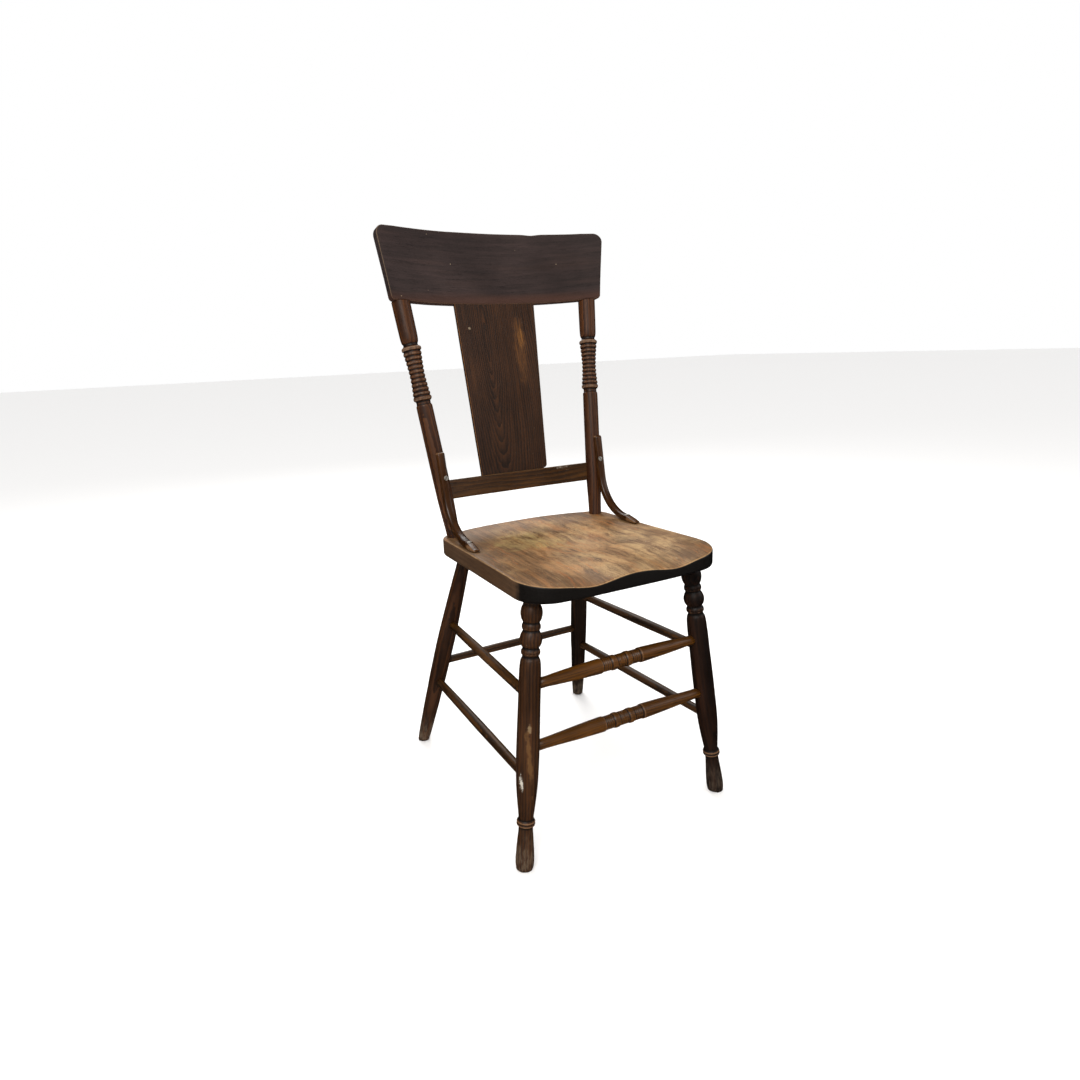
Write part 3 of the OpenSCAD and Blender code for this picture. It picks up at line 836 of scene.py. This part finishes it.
# a board from its outline: lies flat, rounded on both rims, cut into small faces for bending
def boardMesh(outline, thickness, topRound, bottomRound, step, rimBand):
    bm = newMesh()
    wear = wearOf(bm)
    ring = [bm.verts.new((p[0] * mm, p[1] * mm, 0)) for p in outline]
    bmesh.ops.contextual_create(bm, geom=ring)
    lifted = only("Vert", bmesh.ops.extrude_face_region(bm, geom=bm.faces[:])["geom"])
    bmesh.ops.translate(bm, verts=lifted, vec=(0, 0, thickness * mm))
    bmesh.ops.recalc_face_normals(bm, faces=bm.faces)
    for level, radius in ((thickness * mm, topRound), (0.0, bottomRound)):
        rim = [e for e in bm.edges if all(abs(v.co.z - level) < 1e-7 for v in e.verts)]
        rounded = roundOff(bm, rim, radius, 6, clamp_overlap=True)
        bm.normal_update()
        for v in rounded:       # rubbed most along the middle of the rounding
            flat = max(abs(v.normal.z), v.normal.xy.length)
            v[wear] = max(0.0, min(1.0, (0.97 - flat) / 0.22))
    caps = sorted(bm.faces, key=lambda f: f.calc_area())[-2:]
    bmesh.ops.inset_individual(bm, faces=caps, thickness=rimBand * mm, use_even_offset=True)
    for cap in caps:
        for v in cap.verts:
            v[wear] = 0.0
    lows = [min(v.co[i] for v in bm.verts) for i in range(3)]
    highs = [max(v.co[i] for v in bm.verts) for i in range(3)]
    for i in range(2):
        normal = Vector((i == 0, i == 1, 0))
        count = int((highs[i] - lows[i]) / (step * mm))
        for k in range(1, count):
            place = normal * (lows[i] + (highs[i] - lows[i]) * k / count)
            slicePlane(bm, place, normal, dist=1e-6)
    for share in (0.35, 0.5, 0.65):
        slicePlane(bm, (0, 0, thickness * share * mm), (0, 0, 1), dist=1e-6)
    return bm


# a board that stands upright: its face looks along -Y and its middle is at y = 0
def standingBoard(outline, shape, step, rimBand):
    thickness, edge = shape["thickness"], shape["edge"]
    bm = boardMesh(outline, thickness, edge, edge, step, rimBand)
    for v in bm.verts:
        v.co = Vector((v.co.x, thickness * mm / 2 - v.co.z, v.co.y))
    return bm


# bends an upright board and sets it in the leaning back; its ends stay square to the chair, so
# the bend moves only Y
def setInBack(bm, shape, kind, seed):
    roughen(bm, kind, seed)
    radius = shape["bend"] * mm
    for v in bm.verts:
        reach = radius + v.co.y
        v.co.y = math.sqrt(reach * reach - v.co.x ** 2) - radius + shape["middle"] * mm
    bmesh.ops.translate(bm, verts=bm.verts, vec=(0, 0, shape["bottom"] * mm))
    bm.transform(leaning)


def makeCrest():
    shape = crestShape
    hb, ht, h = shape["halfBottom"], shape["halfTop"], shape["height"]
    rb, rt = shape["bottomCorner"], shape["topCorner"]
    half = ([Vector((x, 0)) for x in range(0, 201, 20)]
            + arcPoints((hb - rb, rb), rb, -88, -3, 6)
            + arcPoints((ht - rt, h - rt), rt, -3, 88, 9)
            + [Vector((x, h + shape["crown"] * (1 - (x / ht) ** 2))) for x in range(190, -1, -19)])
    mirror = [Vector((-p.x, p.y)) for p in reversed(half[1:-1])]
    bm = standingBoard(half + mirror, shape, 6, 3.0)
    place, width, depth = shape["dip"]
    for v in bm.verts:
        near = math.exp(-((v.co.x / mm - place) / width) ** 2)
        v.co.z -= depth * mm * near * max(0.0, min(1.0, (v.co.z / mm - h + 8) / 8))
    keepGrain(bm, 0, lambda p: Vector((p.y, p.z, p.x)))
    setInBack(bm, shape, "crest", 4)
    finishPiece(bm, "crestRail", "crest_rail", "crest")


railShape = {
    "bottom": 60.5,
    "height": 34,
    "half": 152,
    "thickness": 14,
    "bend": 580,
    "middle": 1,
    "edge": 2.4,
}


def makeLowerRail():
    shape = railShape
    half, h = shape["half"], shape["height"]
    outline = [Vector(p) for p in ((-half, 0), (half, 0), (half, h), (-half, h))]
    bm = standingBoard(outline, shape, 5, 2.0)
    keepGrain(bm, 2, lambda p: Vector((p.y, p.z, p.x)))
    setInBack(bm, shape, "lowerRail", 6)
    finishPiece(bm, "lowerBackRail", "lower_back_rail", "lowerRail")


splatShape = {
    "bottom": 86.5,
    "top": 414,
    "halfBottom": 69,
    "halfTop": 82.5,
    "thickness": 7,
    "bend": 600,
    "middle": 3.8,
    "edge": 1.3,
    "tongue": 8,
    "lostCorner": 7,       # rounded-off lower right corner, just above the rail
}


def makeSplat():
    shape = splatShape
    h = shape["top"] - shape["bottom"]
    hb, ht, tongue, lost = (shape["halfBottom"], shape["halfTop"], shape["tongue"],
                            shape["lostCorner"])
    outline = ([Vector((-hb, 0)), Vector((hb - lost, 0)), Vector((hb - lost, tongue + 0.5))]
               + arcPoints((hb - lost, tongue + lost + 0.5), lost, -80, 0, 5)
               + [Vector((ht, h)), Vector((-ht, h))])
    bm = standingBoard(outline, shape, 6, 2.0)
    keepGrain(bm, 0)
    setInBack(bm, shape, "splat", 9)
    finishPiece(bm, "backSplat", "back_splat", "splat")


makeCrest()
makeLowerRail()
makeSplat()
print("back boards bent")

# seat: outline in millimetres, hollows as (x, y, width, length, depth)
seatShape = {
    "halfWidth": 179,
    "front": -235.7,
    "back": 137,
    "frontCorner": 56,
    "rearCorner": 36,
    "topEdge": 4,
    "bottomEdge": 7,
    "hollows": [(0, -45, 105, 110, 7.5), (-76, -245, 46, 95, 9.5), (76, -245, 46, 95, 9.5)],
    "frontDrop": 5.5,
    "frontDropLength": 75,
}


def seatOutline():
    shape = seatShape
    w, front, corner, rear = (shape["halfWidth"], shape["front"], shape["frontCorner"],
                              shape["rearCorner"])
    half = ([Vector((0, front)), Vector((36, front + 0.1)), Vector((72, front + 0.6))]
            + arcPoints((w - corner, front + corner + 3), corner, -84, 0, 14)
            + [Vector((w - 1.6, -130)), Vector((w - 3, -80)), Vector((w - 4.5, -35)),
               Vector((w - 5.6, 10)), Vector((w - 6.1, 45))]
            + arcPoints((w - 6.5 - rear, 80), rear, 3, 68, 9)
            + throughPoints([(131, 118.5), (110, 125.5), (72, 132.5), (36, 136),
                             (0, shape["back"])], 2))
    return half + [Vector((-p.x, p.y)) for p in reversed(half[1:-1])]


def seatHollow(x, y):
    shape = seatShape
    depth = sum(d * math.exp(-((x - cx) / w) ** 2 - ((y - cy) / l) ** 2)
                for cx, cy, w, l, d in shape["hollows"])
    ahead = max(0.0, (shape["front"] + shape["frontDropLength"] - y) / shape["frontDropLength"])
    return depth + shape["frontDrop"] * ahead ** 1.6


def makeSeat():
    thickness = (seatTop - seatBottom) / mm
    bm = boardMesh(seatOutline(), thickness, seatShape["topEdge"], seatShape["bottomEdge"], 6, 4.0)
    keepGrain(bm, 1, lambda p: Vector((p.x, p.z, p.y)))
    roughen(bm, "seat", 17)
    for v in bm.verts:
        share = max(0.0, min(1.0, (v.co.z / mm) / thickness))
        v.co.z -= share * seatHollow(v.co.x / mm, v.co.y / mm) * mm
    bmesh.ops.translate(bm, verts=bm.verts, vec=(0, 0, seatBottom))
    finishPiece(bm, "saddleSeat", "seat", "seat")


makeSeat()
print("seat carved")

# hip braces: a strip of bent wood, in millimetres
braceShape = {
    "width": 14.5,
    "thickness": 11,
    "bend": 84,
    "topHeight": 595,
    "tip": -27,
    "tipThickness": 4.6,
    "gap": 14.6,            # from the post's axis to the back of the strip
    "footX": 160.5,
    "topX": 163,
    "around": 36,
    "roundness": {"sides": 0.55, "front": 0.75, "back": 0.42},
}


# stations along the strip's middle: (y, z, heading in degrees, size)
def braceStations():
    shape = braceShape
    base, top = axes["post"]
    slope = (top.y - base.y) / (top.z - base.z)
    lean = math.degrees(math.atan(slope))
    half = shape["thickness"] / 2
    seat = seatTop / mm
    lineY = base.y / mm - (shape["gap"] + half) / math.cos(math.radians(lean))
    footZ = seat + half
    tangent = shape["bend"] * math.tan(math.radians((90 - lean) / 2))
    bendY = lineY + half * slope - tangent
    bendZ = footZ + shape["bend"]
    stations = []
    thin = shape["tipThickness"] / 2
    for k in range(7):      # round tip of the foot
        rise = math.radians(90 * k / 6)
        stations.append((shape["tip"] + 2 * thin * (1 - math.cos(rise)), seat + thin, 0,
                         thin / half * max(0.05, math.sin(rise))))
    startY = shape["tip"] + 2 * thin
    for k in range(1, 8):   # the foot thickens towards the bend
        share = k / 8
        lift = thin + (half - thin) * share ** 0.9
        stations.append((startY + (bendY - startY) * share, seat + lift, 0, lift / half))
    for k in range(25):
        turn = (90 - lean) * k / 24
        stations.append((bendY + shape["bend"] * math.sin(math.radians(turn)),
                         bendZ - shape["bend"] * math.cos(math.radians(turn)), turn, 1))
    endY, endZ = stations[-1][:2]
    upright = math.radians(90 - lean)
    length = (shape["topHeight"] - endZ) / math.sin(upright) - half
    straight = [(length * k / 12, 1) for k in range(1, 13)]
    for k in range(1, 9):   # domed top
        rise = math.radians(90 * k / 8)
        straight.append((length + half * math.sin(rise), max(0.02, math.cos(rise))))
    return stations + [(endY + far * math.cos(upright), endZ + far * math.sin(upright), 90 - lean,
                        size) for far, size in straight]


# cross-section: a circle squared off by its exponents, least at its crowned front
def braceSection(bm):
    shape, power = braceShape, braceShape["roundness"]
    ring = bmesh.ops.create_circle(bm, cap_ends=False, segments=shape["around"], radius=1)["verts"]
    for v in ring:
        x, y = v.co.x, v.co.y
        upDown = power["back"] if y < 0 else power["front"]
        v.co = Vector((math.copysign(abs(x) ** power["sides"], x) * shape["width"] / 2 * mm,
                       math.copysign(abs(y) ** upDown, y) * shape["thickness"] / 2 * mm, 0))
    return ring


def makeBraces():
    shape = braceShape
    stations = braceStations()
    spread = math.atan2(shape["topX"] - shape["footX"], shape["topHeight"] - seatTop / mm)
    for side, word in bothSides:
        bm = newMesh()
        grain = bm.verts.layers.float_vector["grain"]
        wear = wearOf(bm)
        ring = braceSection(bm)
        flat = {v: v.co.copy() for v in ring}
        edges = bm.edges[:]
        travelled, before = 0.0, None
        for i, (y, z, heading, size) in enumerate(stations):
            if i:
                grown = bmesh.ops.extrude_edge_only(bm, edges=edges)["geom"]
                made = only("Vert", grown)
                nearest = {v: min(flat, key=lambda old: (old.co - v.co).length_squared)
                           for v in made}
                flat = {v: flat[nearest[v]] for v in made}
                edges = [e for e in only("Edge", grown) if all(v in flat for v in e.verts)]
            here = Vector((y, z))
            travelled += (here - before).length * mm if before else 0.0
            before = here
            turn = math.radians(heading)
            for v, home in flat.items():
                lift = home.y * size
                v.co = Vector((home.x * min(1, size + 0.35) ** 0.6, y * mm - lift * math.sin(turn),
                               z * mm + lift * math.cos(turn)))
                v[grain] = Vector((home.x, home.y, travelled + side))
                crown = abs(home.x) / (shape["width"] / 2 * mm)
                v[wear] = max(0.0, crown - 0.72) * 1.6 + (0.5 if size < 0.9 else 0.0)
        bmesh.ops.holes_fill(bm, edges=[e for e in bm.edges if e.is_boundary], sides=0)
        roughen(bm, "brace", 25 + side)
        stand = (Matrix.Translation((side * shape["footX"] * mm, 0, seatTop))
                 @ Matrix.Rotation(side * spread, 4, "Y") @ Matrix.Translation((0, 0, -seatTop)))
        bm.transform(stand)
        finishPiece(bm, "hipBrace" + word, "hip_brace_" + word.lower(), "brace")


makeBraces()
print("braces bent")

# screws: slotted heads, in millimetres
screwShape = {
    "head": 4.2,
    "proud": 0.9,
    "shank": 2.2,
    "length": 24,
    "neck": 2.4,
    "sunk": 0.3,
    "slot": 0.9,
    "slotDepth": 0.72,
    "postHeight": 547,
    "postTurn": 0.6,
    "seatY": 3,
    "seatTurn": 1.1,
}


# draws faces out into a step, and gives back its verts and its end faces
def drawOut(bm, faces, scale, drop):
    grown = bmesh.ops.extrude_face_region(bm, geom=faces)["geom"]
    bmesh.ops.delete(bm, geom=faces, context="FACES")
    verts = only("Vert", grown)
    bmesh.ops.scale(bm, verts=verts, vec=(scale, scale, 1))
    bmesh.ops.translate(bm, verts=verts, vec=(0, 0, -drop * mm))
    return verts, only("Face", grown)


def screwMesh(bm, place):
    shape = screwShape
    part = newMesh()
    wear = wearOf(part)
    bmesh.ops.create_circle(part, cap_ends=True, segments=40, radius=shape["head"] * mm)
    lifted = only("Vert", bmesh.ops.extrude_face_region(part, geom=part.faces[:])["geom"])
    bmesh.ops.translate(part, verts=lifted, vec=(0, 0, shape["proud"] * mm))
    rim = [e for e in part.edges if all(v in lifted for v in e.verts)]
    for v in roundOff(part, rim, 0.5, 4):
        v[wear] = 1.0
    for x in (-shape["slot"] / 2, shape["slot"] / 2):
        top = [f for f in part.faces if f.calc_center_median().z > shape["proud"] * mm - 1e-6]
        geom = list(dict.fromkeys([v for f in top for v in f.verts]
                                  + [e for f in top for e in f.edges])) + top
        bmesh.ops.bisect_plane(part, geom=geom, plane_co=(x * mm, 0, 0), plane_no=(1, 0, 0),
                               dist=1e-7)
    slot = [f for f in part.faces if abs(f.calc_center_median().x) < shape["slot"] * 0.4 * mm
            and f.calc_center_median().z > shape["proud"] * mm - 1e-6]
    for v in drawOut(part, slot, 1, shape["slotDepth"])[0]:
        v[wear] = -1.0
    # neck and shank below the head
    bottom = [f for f in part.faces if f.normal.z < -0.9 or
              all(abs(v.co.z) < 1e-7 for v in f.verts)]
    for scale, drop in ((shape["shank"] / shape["head"], shape["neck"]),
                        (1.0, shape["length"] - shape["neck"])):
        bottom = drawOut(part, bottom, scale, drop)[1]
    bmesh.ops.recalc_face_normals(part, faces=part.faces)
    part.transform(place)
    held = bpy.data.meshes.new("screwPart")
    part.to_mesh(held)
    part.free()
    bm.from_mesh(held)
    bpy.data.meshes.remove(held)


def makeScrews():
    shape = screwShape
    base, top = axes["post"]
    lean = math.atan2(top.y - base.y, top.z - base.z)
    proud = (braceShape["thickness"] - shape["sunk"]) * mm
    out = braceShape["gap"] * mm + proud
    postScrews, seatScrews = newMesh(), newMesh()
    for side in (left, right):
        axis = sided(atHeight(base, top, shape["postHeight"] * mm), side)
        screwMesh(postScrews, Matrix.Translation(axis)
                  @ Matrix.Rotation(math.pi / 2 - lean, 4, "X")
                  @ Matrix.Translation((0, 0, out))
                  @ Matrix.Rotation(shape["postTurn"] * side, 4, "Z"))
        place = (side * braceShape["footX"] * mm, shape["seatY"] * mm,
                 seatTop + proud)
        screwMesh(seatScrews, Matrix.Translation(place)
                  @ Matrix.Rotation(shape["seatTurn"] + side, 4, "Z"))
    finishPiece(postScrews, "bracePostScrews", "brace_post_screws", "screw")
    finishPiece(seatScrews, "braceSeatScrews", "brace_seat_screws", "screw")


makeScrews()
print("screws driven")

# studio
studio = {
    "floor": 60.0,
    "floorColor": "#fcfbfa",
    "floorRough": 0.85,
    "world": 1.0,
    "lights": [
        # name, place, size, power, warmth
        ("keyLight", (-1.5, -1.7, 2.4), 1.2, 44, (1.0, 0.97, 0.93)),
        ("fillLight", (2.2, -1.3, 1.6), 1.4, 10, (0.95, 0.97, 1.0)),
        ("windowLight", (0.5, 2.0, 2.4), 1.6, 45, (1.0, 0.99, 0.97)),
    ],
    "aim": (0.0, 0.0, 0.45),
}


def makeFloor():
    bm = bmesh.new()
    bmesh.ops.create_grid(bm, x_segments=2, y_segments=2, size=studio["floor"] / 2)
    mesh = bpy.data.meshes.new("studioFloor")
    bm.to_mesh(mesh)
    bm.free()
    floor = addObject("studioFloor", mesh)
    material, tree = startFinish("floorPaint")
    surface(tree, tint(studio["floorColor"]), studio["floorRough"])
    mesh.materials.append(material)
    floor.visible_glossy = False    # the old finish mirrors only the lamps


def makeLights():
    for name, place, size, power, warmth in studio["lights"]:
        data = bpy.data.lights.new(name, "AREA")
        data.shape = "SQUARE"
        data.size = size
        data.energy = power
        data.color = warmth
        lamp = addObject(name, data)
        way = Vector(studio["aim"]) - Vector(place)
        lamp.matrix_world = (Matrix.Translation(place)
                             @ way.to_track_quat("-Z", "Y").to_matrix().to_4x4())
    world = bpy.data.worlds.new("studioAir")
    world.use_nodes = True
    air = world.node_tree.nodes["Background"]
    air.inputs[0].default_value = (1, 1, 1, 1)
    air.inputs[1].default_value = studio["world"]
    world.cycles_visibility.glossy = False
    bpy.context.scene.world = world


makeFloor()
makeLights()
print("studio lit")
